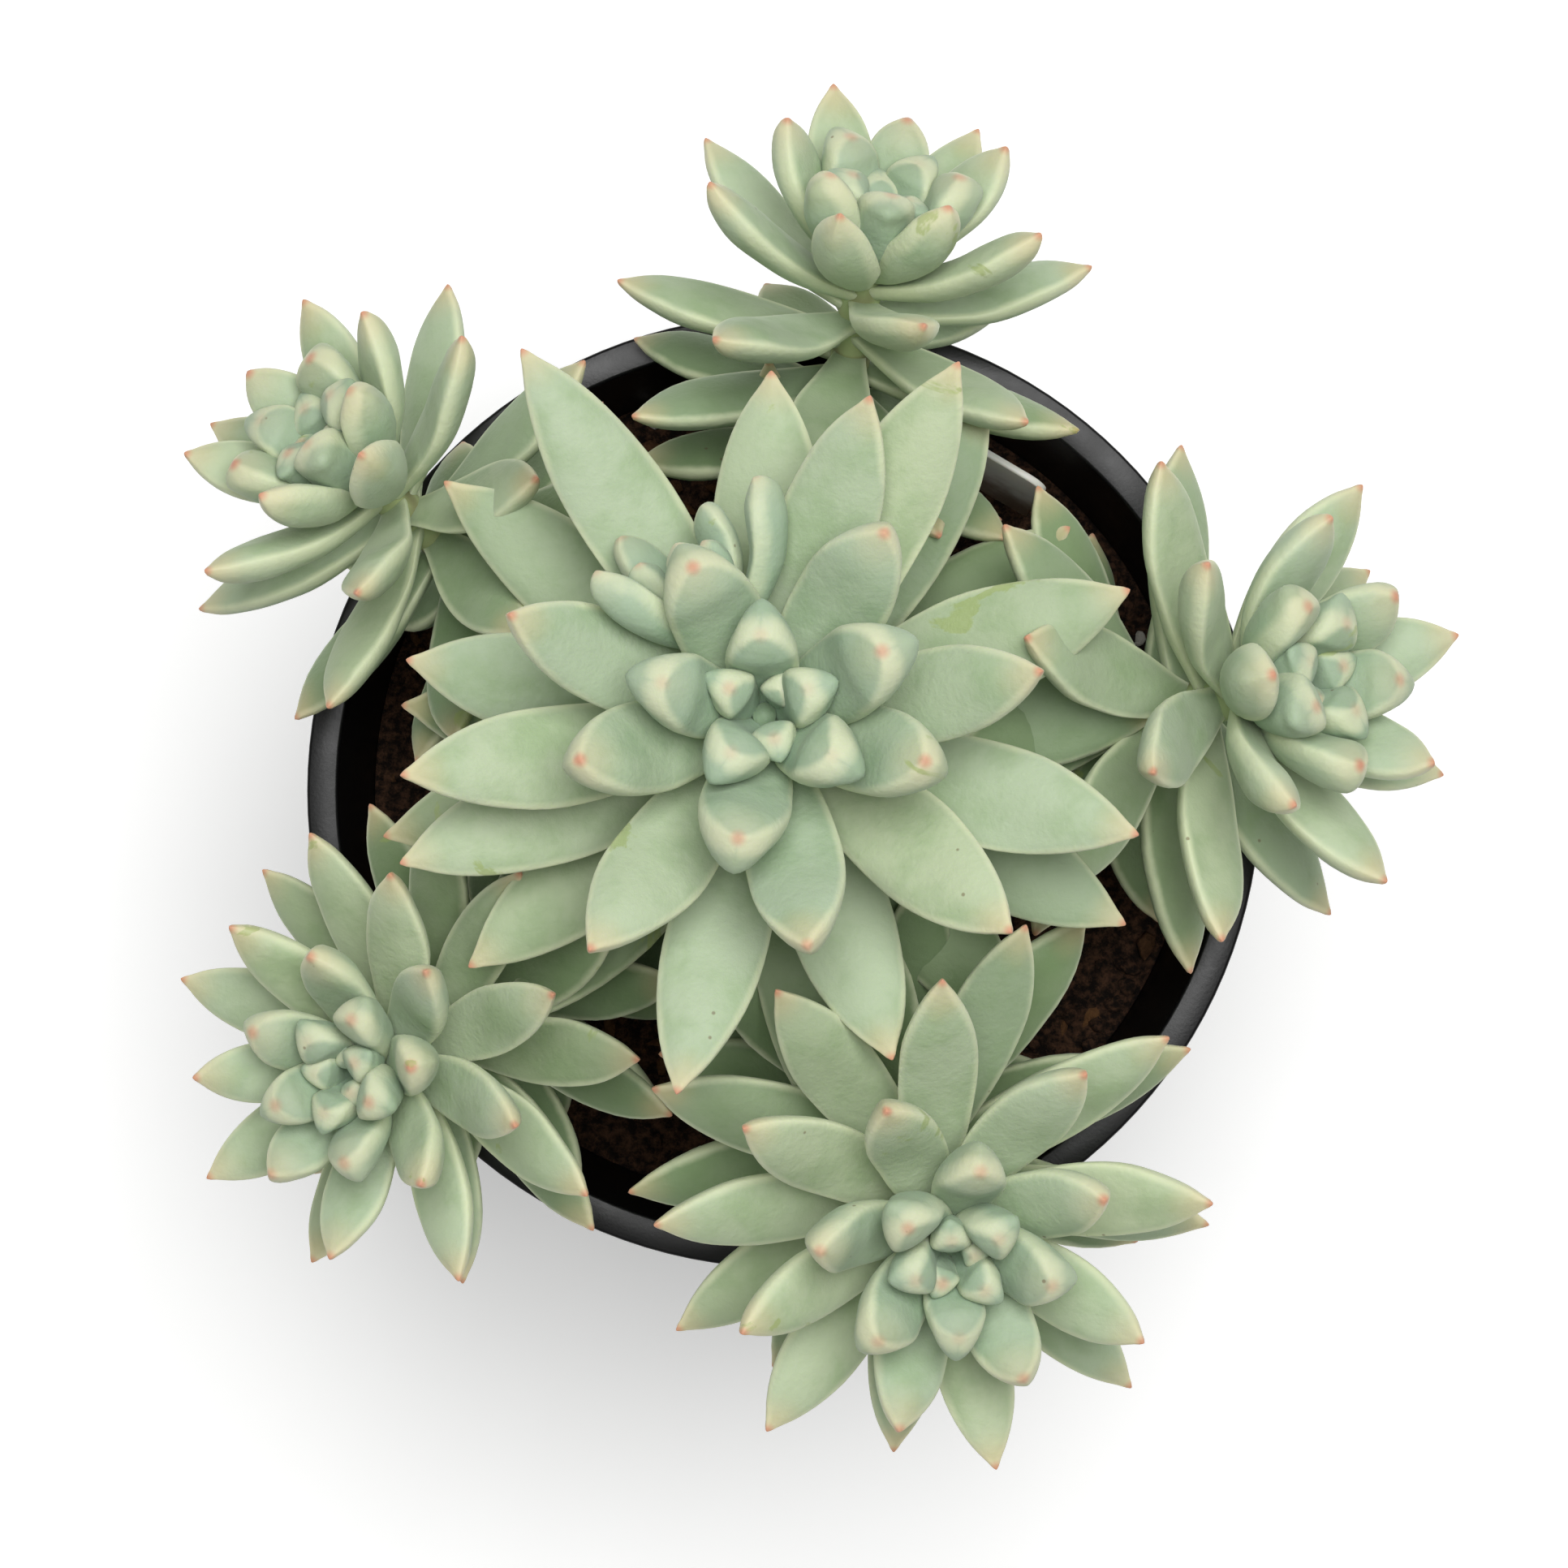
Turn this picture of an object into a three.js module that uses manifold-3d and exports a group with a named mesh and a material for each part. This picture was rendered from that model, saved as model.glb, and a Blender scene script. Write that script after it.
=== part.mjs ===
import * as THREE from 'three';
import { mergeVertices } from 'three/addons/utils/BufferGeometryUtils.js';
import Module from 'manifold-3d';

const wasm = await Module();
wasm.setup();

// A succulent with six leafy shoots in a moulded nursery pot.
// Millimetres and degrees. The origin is the centre of the pot's underside.

// Driving dimensions
const gap = 0.3; // clearance between neighbouring pieces
const fineness = 0.1; // how far a cut surface may move when its slivers are merged

const pot = {
  height: 88,
  rimDiameter: 105,
  baseDiameter: 77,
  wall: 1.3,
  floor: 1.8,
  lipWidth: 3.4,
  lipThickness: 2.4,
  bandHeight: 15,
  bandStep: 0.9,
  hubDiameter: 32,
  footWidth: 3,
  recess: 1.4,
  draft: 1, // the slope's run at each step of the underside
  drainHoles: 8,
  drainDiameter: 7,
  facets: 32,
};

// The soil is domed inside the shoulder radius, and slopes down outside it
const soil = { belowRim: 17, dome: 2.5, edgeDrop: 1.5, shoulder: 30, rings: [39, 30, 15, 0] };

const label = {
  length: 60,
  width: 16,
  thickness: 0.8,
  aboveSoil: 19,
  pointLength: 12,
  cornerRadius: 2.5,
  inset: 5.5, // from the pot's wall at the soil surface
  azimuth: 59.5,
  slant: 6,
};

// A full-grown leaf of a shoot of size 1
const leaf = {
  length: 40,
  width: 11,
  thickness: 6,
  upperShare: 0.3, // of the thickness above the widest line
  baseShare: 0.42, // of the width at the base
  widestAt: 0.56, // of the length
  baseFullness: 1.3,
  tipFullness: 2.1,
  tipRounding: 0.8,
  girthPower: 0.8, // a smaller shoot's leaves are a little plumper for their length
};

const stem = {
  diameter: 7,
  apexDiameter: 2.4,
  apexTaper: 6,
  buried: 12,
  leafFoot: 1.6, // from the stem's axis to a leaf's base
  divergence: 137.5, // the turn from one leaf to the next
  straightness: 0.35, // of the stem's length, before it bends at either end
  opensFrom: 14, // the age from which the leaves of a half-closed shoot open out
  openBy: 34, // and the age by which they are as open as any
};

// How a leaf changes with its age, counted in younger leaves of the main shoot. Each row is [age, length, width,
// thickness, spread from the stem, inward curl, distance from the apex], with the length, width
// and thickness as parts of a full-grown leaf.
const growth = [
  [0, 0.14, 0.34, 0.48, 4, 10, 0.2],
  [4, 0.26, 0.6, 0.85, 16, 30, 1],
  [8, 0.42, 0.8, 1.03, 33, 45, 2.6],
  [12, 0.56, 0.86, 1.03, 48, 40, 4.6],
  [16, 0.74, 0.91, 1, 60, 30, 7.2],
  [20, 0.87, 0.95, 0.97, 69, 22, 10.2],
  [24, 0.95, 0.98, 0.93, 77, 16, 13.6],
  [30, 0.99, 1, 0.9, 86, 8, 19.5],
  [40, 0.98, 1, 0.87, 95, 0, 31],
  [52, 0.75, 0.85, 0.8, 102, 0, 49],
];

// Each shoot: the foot on the soil, the apex and its rise above the soil, how far and which way
// the apex leans, the first leaf's turn, the spiral's hand, how far its young leaves open, how
// fast they age, how broad they are, and the leaves that stand a little off the spiral, each with
// its extra turn and its share of the usual length. Leaves that come before the one numbered
// crown are joined as the crown, and those from the one numbered loose are joined to the stem.
const shoots = [
  {
    name: 'main', size: 1, leaves: 42, crown: 12, loose: 31, foot: [0, 3], apex: [-1.9, 7.7], rise: 69,
    lean: 5, toward: 100, turn: 52, hand: -1, open: 1, pace: 1,
    broad: 1,
    nudge: {
      1: [17, 1], 2: [13, 1], 3: [19, 1], 4: [11, 1], 5: [6, 1], 6: [15, 1], 8: [-10, 1.1], 9: [4, 1],
      12: [-6, 1], 13: [-8, 1], 14: [-5, 1.05], 15: [12, 1.05], 16: [-6, 1], 18: [-24, 1.06], 20: [8, 1.06],
      21: [16, 1.13], 22: [-9, 1.05], 23: [-6, 1.18], 24: [-10, 1], 25: [-12, 1], 26: [14, 0.9],
      27: [-9, 0.89], 28: [6, 0.92], 29: [-2, 0.96], 30: [-29, 0.94], 31: [32, 1.03],
    },
  },
  {
    name: 'bottom', size: 0.74, leaves: 34, crown: 13, loose: 18, foot: [6, -16], apex: [16.9, -46.3],
    rise: 59, lean: 18, toward: 288, turn: 14, hand: -1, open: 1, pace: 1.05, broad: 1,
    nudge: {},
  },
  {
    name: 'lower_left', size: 0.63, leaves: 32, crown: 13, loose: 18, foot: [-15, -10], apex: [-44.2, -29.1],
    rise: 49, lean: 24, toward: 188, turn: 86, hand: -1, open: 0.92, pace: 1.05, broad: 1,
    nudge: {},
  },
  {
    name: 'right', size: 0.68, leaves: 25, crown: 10, loose: 15, foot: [18, 4], apex: [52.7, 11.2],
    rise: 47, lean: 42, toward: 12, turn: 116, hand: 1, open: 0.75, pace: 1.25, broad: 1.1,
    nudge: {},
  },
  {
    name: 'top', size: 0.62, leaves: 25, crown: 10, loose: 15, foot: [3, 16], apex: [9.7, 59],
    rise: 41, lean: 54, toward: 76, turn: 13, hand: -1, open: 0.66, pace: 1.25, broad: 1.1,
    nudge: {},
  },
  {
    name: 'left', size: 0.6, leaves: 25, crown: 10, loose: 15, foot: [-16, 8], apex: [-47, 35.6],
    rise: 39, lean: 50, toward: 140, turn: 50, hand: 1, open: 0.66, pace: 1.25, broad: 1.1,
    nudge: {},
  },
];

// A small offset that grows from the main stem, this far below its apex
const offset = {
  name: 'offset', size: 0.85, leaves: 10, below: 9, apex: [-7, 19], rise: 66,
  lean: 65, toward: 126, turn: 20, hand: -1, open: 1, pace: 1, broad: 0.72,
  nudge: {},
};

const leafColours = { young: 0xa9c2a4, grown: 0xbccfb2, old: 0xa3b48f };

// Worked-out sizes of the pot
const rimRadius = pot.rimDiameter / 2;
const baseRadius = pot.baseDiameter / 2;
const mouthRadius = rimRadius - pot.lipWidth;
const floorTop = pot.recess + pot.floor;
const soilTop = pot.height - soil.belowRim;

/** The radius of the pot's inner wall at a height. */
function innerRadius(z) {
  const narrow = baseRadius - pot.wall;
  return narrow + (mouthRadius - narrow) * (z / pot.height);
}

/** The height of the soil's surface at a distance from the axis. */
function soilHeight(radius) {
  const edge = innerRadius(soilTop) - gap;
  const slope = Math.max(0, (radius - soil.shoulder) / (edge - soil.shoulder));
  const rise = soil.dome * Math.max(0, 1 - (radius / soil.shoulder) ** 2);
  return soilTop + rise - soil.edgeDrop * slope;
}

/** A geometry with only its positions, its shared vertices merged. */
function closed(geometry) {
  geometry.deleteAttribute('normal');
  geometry.deleteAttribute('uv');
  return mergeVertices(geometry);
}

/** The solid that a closed geometry bounds. */
function toSolid(geometry) {
  const { position } = geometry.attributes;
  return new wasm.Manifold(new wasm.Mesh({
    numProp: 3,
    vertProperties: Float32Array.from(position.array),
    triVerts: Uint32Array.from(geometry.index.array),
  }));
}

/** Whether a mesh touches itself, with two of its vertices in one place. */
function pinched({ vertProperties }) {
  const places = new Set();
  for (let i = 0; i < vertProperties.length; i += 3) {
    places.add(Array.from(vertProperties.slice(i, i + 3), (value) => value.toFixed(3)).join());
  }
  return places.size < vertProperties.length / 3;
}

/** The geometry of a solid's main body, its slivers merged, and more coarsely if it is pinched. */
function toGeometry(solid) {
  const merged = [1, 2, 3, 4, 5, 6].map((times) => fineness * times);
  const meshes = merged.map((size) => mainBody(solid.asOriginal().simplify(size)).getMesh());
  const mesh = meshes.find((candidate) => !pinched(candidate)) ?? meshes[0];
  const geometry = new THREE.BufferGeometry();
  geometry.setAttribute('position', new THREE.BufferAttribute(mesh.vertProperties, 3));
  geometry.setIndex(new THREE.BufferAttribute(mesh.triVerts, 1));
  geometry.computeVertexNormals();
  return geometry;
}

/** The largest of the bodies that a cut leaves. */
function mainBody(solid) {
  const bodies = solid.decompose();
  return bodies.reduce((largest, body) => (body.volume() > largest.volume() ? body : largest));
}

/** Whether the boxes of two solids overlap. */
function near(a, b) {
  const boxA = a.boundingBox();
  const boxB = b.boundingBox();
  return [0, 1, 2].every((i) => boxA.min[i] < boxB.max[i] && boxB.min[i] < boxA.max[i]);
}

/** A solid with every obstacle near it cut away, keeping its main body. */
function clearOf(solid, obstacles) {
  const close = obstacles.filter((obstacle) => near(solid, obstacle));
  if (close.length === 0) return solid;
  return mainBody(solid.subtract(wasm.Manifold.union(close)));
}

/** A value of the growth table at an age, between its rows. */
function grown(age, column) {
  const upper = Math.max(1, growth.findIndex((row) => row[0] >= age));
  const [younger, older] = [growth[upper - 1], growth[upper]];
  const share = (age - younger[0]) / (older[0] - younger[0]);
  return THREE.MathUtils.lerp(younger[column], older[column], share);
}

/** The path of a shoot's stem, upright at its foot and leaning at its apex. */
function stemPath(shoot, foot) {
  const lean = THREE.MathUtils.degToRad(shoot.lean);
  const toward = THREE.MathUtils.degToRad(shoot.toward);
  const axis = new THREE.Vector3(
    Math.sin(lean) * Math.cos(toward), Math.sin(lean) * Math.sin(toward), Math.cos(lean),
  );
  const apex = new THREE.Vector3(...shoot.apex, soilTop + shoot.rise);
  const reach = apex.distanceTo(foot) * stem.straightness;
  return new THREE.CubicBezierCurve3(
    foot, foot.clone().add(new THREE.Vector3(0, 0, reach)), apex.clone().addScaledVector(axis, -reach), apex,
  );
}

/** The place and directions on a stem at a distance below its apex, or straight past its ends. */
function stemFrame(path, distance) {
  const length = path.getLength();
  const within = THREE.MathUtils.clamp(distance, 0, length);
  const along = path.getTangentAt(1 - within / length);
  const point = path.getPointAt(1 - within / length).addScaledVector(along, within - distance);
  const east = new THREE.Vector3(1, 0, 0);
  east.addScaledVector(along, -east.dot(along)).normalize();
  return { point, along, east, north: along.clone().cross(east) };
}

/** A stretch of stem between two distances below the apex, thinner towards the apex. */
function stalk(shoot, top, bottom, grow) {
  const geometry = closed(new THREE.CylinderGeometry(1, 1, 1, 8, 8));
  const { position } = geometry.attributes;
  for (let i = 0; i < position.count; i += 1) {
    const distance = THREE.MathUtils.lerp(bottom + grow, top - grow, position.getY(i) + 0.5);
    const frame = stemFrame(shoot.path, distance);
    const full = THREE.MathUtils.smoothstep(distance, 0, stem.apexTaper);
    const radius = THREE.MathUtils.lerp(stem.apexDiameter, stem.diameter, full) / 2 * shoot.size + grow;
    frame.point.addScaledVector(frame.east, position.getZ(i) * radius);
    frame.point.addScaledVector(frame.north, position.getX(i) * radius);
    position.setXYZ(i, ...frame.point);
  }
  return toSolid(geometry);
}

/** The sizes and attachment of one leaf of a shoot. */
function leafPlan(shoot, number) {
  const degrees = THREE.MathUtils.degToRad;
  const age = number * shoot.pace;
  const frame = stemFrame(shoot.path, grown(age, 6) * shoot.size);
  const [extraTurn, stretch] = shoot.nudge[number] ?? [0, 1];
  const turn = degrees(shoot.turn + shoot.hand * stem.divergence * number + extraTurn);
  const outward = frame.east.clone().multiplyScalar(Math.cos(turn));
  outward.addScaledVector(frame.north, Math.sin(turn));
  const girth = shoot.broad * shoot.size ** leaf.girthPower;
  const opened = THREE.MathUtils.smoothstep(age, stem.opensFrom, stem.openBy);
  const alone = number >= shoot.crown && number < shoot.loose;
  return {
    base: frame.point.clone().addScaledVector(outward, stem.leafFoot * shoot.size),
    along: frame.along,
    outward,
    across: frame.along.clone().cross(outward),
    length: leaf.length * shoot.size * grown(age, 1) * stretch,
    width: leaf.width * girth * grown(age, 2),
    thickness: leaf.thickness * girth * grown(age, 3),
    spread: degrees(grown(age, 4) * THREE.MathUtils.lerp(shoot.open, 1, opened)),
    curl: degrees(Math.max(0.5, grown(age, 5))),
    facets: alone ? [8, 5] : [6, age < 4 ? 3 : 4],
  };
}

/** The half-width of a leaf at a share of its length, as a part of its greatest half-width. */
function leafOutline(share) {
  if (share < leaf.widestAt) {
    const swell = Math.sin((Math.PI / 2) * (share / leaf.widestAt)) ** leaf.baseFullness;
    return THREE.MathUtils.lerp(leaf.baseShare, 1, swell);
  }
  const towardTip = (share - leaf.widestAt) / (1 - leaf.widestAt);
  return (1 - towardTip ** leaf.tipFullness) ** leaf.tipRounding;
}

/** A thick pointed leaf that curls in along its length, flatter above than below. */
function leafSolid(plan, grow) {
  const geometry = closed(new THREE.SphereGeometry(1, ...plan.facets));
  const { position } = geometry.attributes;
  const start = plan.spread + plan.curl / 2;
  for (let i = 0; i < position.count; i += 1) {
    const share = (1 - position.getY(i)) / 2;
    const reach = -grow / plan.length + share * (1 + (2 * grow) / plan.length);
    const angle = start - plan.curl * reach;
    const outward = (plan.length * (Math.cos(angle) - Math.cos(start))) / plan.curl;
    const along = (plan.length * (Math.sin(start) - Math.sin(angle))) / plan.curl;
    const round = Math.hypot(position.getX(i), position.getZ(i));
    const atPole = round < 1e-6;
    const side = atPole ? 0 : position.getX(i) / round;
    const up = atPole ? 0 : position.getZ(i) / round;
    const full = atPole ? 0 : leafOutline(share);
    const extra = atPole ? 0 : grow;
    const depth = plan.thickness * (up > 0 ? leaf.upperShare : 1 - leaf.upperShare);
    const point = plan.base.clone();
    point.addScaledVector(plan.outward, outward).addScaledVector(plan.along, along);
    point.addScaledVector(plan.across, side * (plan.width / 2 * full + extra));
    const lift = up * (depth * full + extra);
    point.addScaledVector(plan.along, Math.sin(angle) * lift);
    point.addScaledVector(plan.outward, -Math.cos(angle) * lift);
    position.setXYZ(i, ...point);
  }
  return toSolid(geometry);
}

/** The moulded pot: a tapered wall, a rim with a flat lip, and a recessed base with drain holes. */
function potSolid() {
  const band = pot.height - pot.bandHeight;
  const hub = pot.hubDiameter / 2;
  const footInner = baseRadius - pot.footWidth;
  const wallRadius = (z) => innerRadius(z) + pot.wall;
  const lipRound = pot.lipThickness / 2;
  const profile = [
    [0, 0],
    [hub, 0],
    [hub + pot.draft, pot.recess],
    [footInner - pot.draft, pot.recess],
    [footInner, 0],
    [baseRadius - pot.draft, 0],
    [wallRadius(pot.draft), pot.draft],
    [wallRadius(band), band],
    [wallRadius(band) + pot.bandStep, band + pot.bandStep],
    [wallRadius(pot.height - pot.lipThickness) + pot.bandStep, pot.height - pot.lipThickness],
  ].map(([x, y]) => new THREE.Vector2(x, y));
  for (let i = 0; i <= 4; i += 1) {
    const angle = -Math.PI / 2 + (Math.PI * i) / 4;
    profile.push(new THREE.Vector2(
      rimRadius - lipRound + lipRound * Math.cos(angle), pot.height - lipRound + lipRound * Math.sin(angle),
    ));
  }
  profile.push(new THREE.Vector2(mouthRadius, pot.height));
  profile.push(new THREE.Vector2(innerRadius(floorTop), floorTop));
  profile.push(new THREE.Vector2(0, floorTop));
  let body = toSolid(closed(new THREE.LatheGeometry(profile, pot.facets).rotateX(Math.PI / 2)));
  for (let i = 0; i < pot.drainHoles; i += 1) {
    const angle = (2 * Math.PI * (i + 0.5)) / pot.drainHoles;
    const radius = (hub + footInner) / 2;
    const drill = new THREE.CylinderGeometry(pot.drainDiameter / 2, pot.drainDiameter / 2, 4 * floorTop, 12);
    drill.rotateX(Math.PI / 2).translate(radius * Math.cos(angle), radius * Math.sin(angle), 0);
    body = body.subtract(toSolid(closed(drill)));
  }
  return body;
}

/** The plug of soil that fills the pot, gently domed. */
function soilSolid() {
  const bottom = floorTop + gap;
  const edge = innerRadius(soilTop) - gap;
  const profile = [
    new THREE.Vector2(0, bottom),
    new THREE.Vector2(innerRadius(bottom) - gap, bottom),
    new THREE.Vector2(edge, soilHeight(edge)),
  ];
  for (const radius of soil.rings) {
    profile.push(new THREE.Vector2(radius, soilHeight(radius)));
  }
  return toSolid(closed(new THREE.LatheGeometry(profile, pot.facets).rotateX(Math.PI / 2)));
}

/** The blank plant label, its point down in the soil. */
function labelSolid(grow) {
  const half = label.width / 2 + grow;
  const top = grow;
  const corner = label.cornerRadius + grow;
  const bottom = -label.length - grow;
  const outline = new THREE.Shape();
  outline.moveTo(0, bottom);
  outline.lineTo(half, bottom + label.pointLength);
  outline.lineTo(half, top - corner);
  outline.absarc(half - corner, top - corner, corner, 0, Math.PI / 2);
  outline.lineTo(corner - half, top);
  outline.absarc(corner - half, top - corner, corner, Math.PI / 2, Math.PI);
  outline.lineTo(-half, bottom + label.pointLength);
  const depth = label.thickness + 2 * grow;
  const geometry = new THREE.ExtrudeGeometry(outline, { depth, bevelEnabled: false, curveSegments: 4 });
  const azimuth = THREE.MathUtils.degToRad(label.azimuth);
  const radius = innerRadius(soilTop) - label.inset;
  geometry.translate(0, label.aboveSoil, -depth / 2);
  geometry.rotateX(Math.PI / 2 - THREE.MathUtils.degToRad(label.slant));
  geometry.rotateZ(azimuth - Math.PI / 2);
  geometry.translate(radius * Math.cos(azimuth), radius * Math.sin(azimuth), soilTop);
  return toSolid(closed(geometry));
}

/** The room that the pot's rim and wall keep around them, from below the soil's surface up. */
function rimSpace() {
  const bottom = soilTop - stem.buried;
  const [inside, outside, top] = [innerRadius(bottom) - gap, rimRadius + gap, pot.height + gap];
  const profile = [
    [inside, bottom], [outside, bottom], [outside, top], [mouthRadius - gap, top], [inside, bottom],
  ].map(([x, y]) => new THREE.Vector2(x, y));
  return toSolid(closed(new THREE.LatheGeometry(profile, pot.facets).rotateX(Math.PI / 2)));
}

/** The ages from one up to, but not including, another. */
function agesBetween(from, to) {
  return Array.from({ length: to - from }, (_, i) => from + i);
}

/** The room that a shoot's leaves keep around them, between two ages. */
function leafSpaces(shoot, from, to) {
  return agesBetween(from, to).map((age) => leafSolid(leafPlan(shoot, age), gap));
}

/** A length of stem with its leaves between two ages, each clear of what is in the way. */
function leafyStem(shoot, length, from, to, blocked) {
  const leaves = agesBetween(from, to).map((age) => clearOf(leafSolid(leafPlan(shoot, age), 0), blocked));
  return mainBody(wasm.Manifold.union([length, ...leaves]));
}

const plant = new THREE.Group();

/** Adds a named mesh of a solid to the plant. */
function addPiece(name, solid, colour, roughness) {
  const material = new THREE.MeshStandardMaterial({ color: colour, roughness, metalness: 0 });
  const mesh = new THREE.Mesh(toGeometry(solid), material);
  mesh.name = name;
  plant.add(mesh);
}

// Each shoot's crown is on the top of its stem, and the stalk is the rest of the stem
for (const shoot of shoots) {
  shoot.path = stemPath(shoot, new THREE.Vector3(...shoot.foot, soilTop - stem.buried));
  shoot.crownEnd = (grown(shoot.crown * shoot.pace, 6) + 1) * shoot.size;
  shoot.stalkSpace = stalk(shoot, shoot.crownEnd, shoot.path.getLength(), gap);
}
offset.path = stemPath(offset, stemFrame(shoots[0].path, offset.below).point);

// What leaves keep clear of: these, the stalks, and then every leaf made before them
const taken = [rimSpace(), soilSolid().translate(0, 0, gap), labelSolid(gap)];
const stalkSpaces = shoots.map((shoot) => shoot.stalkSpace);

const crownSpaces = [];
for (const shoot of shoots) {
  const core = stalk(shoot, 0, shoot.crownEnd - 2 * gap, 0);
  const crown = leafyStem(shoot, core, 0, shoot.crown, [...taken, ...stalkSpaces]);
  addPiece(`crown_${shoot.name}`, crown, leafColours.young, 0.6);
  crownSpaces.push(stalk(shoot, 0, shoot.crownEnd - 2 * gap, gap), ...leafSpaces(shoot, 0, shoot.crown));
}
taken.push(...crownSpaces);

const offsetLength = offset.path.getLength();
const offsetStalk = clearOf(stalk(offset, 0, offsetLength, 0), [...taken, ...stalkSpaces]);
const offsetShoot = leafyStem(offset, offsetStalk, 0, offset.leaves, [...taken, ...stalkSpaces]);
addPiece('offset', offsetShoot, leafColours.young, 0.6);
taken.push(stalk(offset, 0, offsetLength, gap), ...leafSpaces(offset, 0, offset.leaves));

for (const shoot of shoots) {
  for (const age of agesBetween(shoot.crown, shoot.loose)) {
    const piece = clearOf(leafSolid(leafPlan(shoot, age), 0), [...taken, ...stalkSpaces]);
    addPiece(`leaf_${shoot.name}_${age}`, piece, leafColours.grown, 0.6);
    taken.push(leafSolid(leafPlan(shoot, age), gap));
  }
}

for (const shoot of shoots) {
  const otherStalks = stalkSpaces.filter((space) => space !== shoot.stalkSpace);
  const length = stalk(shoot, shoot.crownEnd, shoot.path.getLength(), 0);
  const stalkWithLeaves = leafyStem(shoot, length, shoot.loose, shoot.leaves, [...taken, ...otherStalks]);
  addPiece(`stem_${shoot.name}`, stalkWithLeaves, leafColours.old, 0.65);
  taken.push(...leafSpaces(shoot, shoot.loose, shoot.leaves));
}

const soilHoles = wasm.Manifold.union([labelSolid(gap), ...stalkSpaces]);
addPiece('soil', soilSolid().subtract(soilHoles), 0x2b1d15, 0.95);
addPiece('plant_label', labelSolid(0), 0xe6e4dc, 0.5);
addPiece('pot', potSolid(), 0x0e0e0f, 0.35);

export default plant;
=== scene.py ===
import bisect
import math
import random

import bmesh
import bpy
from mathutils import Matrix, Vector, noise
from mathutils.geometry import interpolate_bezier


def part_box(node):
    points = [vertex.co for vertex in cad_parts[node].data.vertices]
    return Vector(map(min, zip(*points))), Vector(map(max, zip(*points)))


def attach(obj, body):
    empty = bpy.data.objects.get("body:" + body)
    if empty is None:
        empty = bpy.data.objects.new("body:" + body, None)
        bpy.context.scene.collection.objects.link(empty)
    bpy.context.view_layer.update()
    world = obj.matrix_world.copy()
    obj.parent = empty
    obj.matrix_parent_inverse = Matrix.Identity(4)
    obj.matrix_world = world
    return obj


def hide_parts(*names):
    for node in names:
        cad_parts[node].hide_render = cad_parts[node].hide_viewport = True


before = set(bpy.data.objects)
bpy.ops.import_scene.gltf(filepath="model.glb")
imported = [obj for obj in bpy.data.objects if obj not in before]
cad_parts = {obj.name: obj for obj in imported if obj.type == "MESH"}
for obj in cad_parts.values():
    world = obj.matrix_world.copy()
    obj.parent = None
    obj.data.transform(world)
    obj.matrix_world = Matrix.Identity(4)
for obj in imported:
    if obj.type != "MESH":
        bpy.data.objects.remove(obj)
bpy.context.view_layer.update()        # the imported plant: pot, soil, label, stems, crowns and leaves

mm = 0.001               # the sizes below are in millimetres, the scene is in metres
scene = bpy.context.scene
print("frame loaded:", len(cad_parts), "nodes")


def blendValue(first, second, share):
    return first + (second - first) * share


def smoothStep(low, high, value):
    share = min(1, max(0, (value - low) / (high - low)))
    return share * share * (3 - 2 * share)


def linearColour(hexText):               # sRGB hex to the linear colour that nodes take
    channels = [int(hexText[i:i + 2], 16) / 255 for i in (1, 3, 5)]
    return [c / 12.92 if c <= 0.04045 else ((c + 0.055) / 1.055) ** 2.4 for c in channels] + [1]


def perMetre(sizeMm):                    # texture scale for a pattern of this size
    return 1000 / sizeMm


def newMaterial(name):
    material = bpy.data.materials.new(name)
    material.use_nodes = True
    material.node_tree.nodes.clear()
    return material, material.node_tree


def addNode(tree, kind, settings=None, inputs=None):
    node = tree.nodes.new("ShaderNode" + kind)
    for name, value in (settings or {}).items():
        setattr(node, name, value)
    for key, value in (inputs or {}).items():
        if isinstance(value, bpy.types.NodeSocket):
            tree.links.new(value, node.inputs[key])
        else:
            node.inputs[key].default_value = value
    return node


def joinCopy(mesh, copy):                # adds a shaped copy of a template to a piece's mesh
    data = bpy.data.meshes.new("shapedCopy")
    copy.to_mesh(data)
    copy.free()
    mesh.from_mesh(data)
    bpy.data.meshes.remove(data)


def finishPiece(name, mesh, materials, node):
    bmesh.ops.recalc_face_normals(mesh, faces=mesh.faces)
    for face in mesh.faces:
        face.smooth = True
    data = bpy.data.meshes.new(name)
    mesh.to_mesh(data)
    mesh.free()
    for material in materials:
        data.materials.append(material)
    piece = bpy.data.objects.new(name, data)
    scene.collection.objects.link(piece)
    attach(piece, "root")
    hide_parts(node)
    return piece


leafLook = {
    "bloomYoung": "#99AF96",             # blue-grey wax on the newest leaves
    "bloomGrown": "#AFBFA2",             # paler, yellower wax on open leaves
    "bloomYellow": "#BFC8A0",            # some leaves are yellower than others
    "tissueYoung": "#7B9C7E",            # green tissue where the wax is thin
    "tissueGrown": "#8DA678",
    # dark olive of old leaves that have lost their wax, darkened further as painted shade for low leaves
    "tissueOldShaded": "#607B4C",
    "marginWithHighlight": "#DFE3C0",                 # creamy edge, made paler as a painted highlight
    "blush": "#DAC39A",                  # creamy peach flush towards the tip
    "tip": "#C9705A",                    # the small red point
    "rubbed": "#98A862",                 # olive where a touch has wiped the wax off
    "speck": "#6A5136",
    "edgeWidth": 0.9,                    # the sizes are in millimetres
    "edgeRagged": 1.6,
    "blushLength": 5.5,
    "blushRagged": 4,
    "blushSink": 2,                      # how far the blush reaches back at full strength
    "pointLength": 1.2,
    "patchSize": 7,
    "rubSize": 12,
    "grainSize": 0.7,
    "speckSpacing": 6,
    "bumpHeight": 0.25,
}


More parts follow.
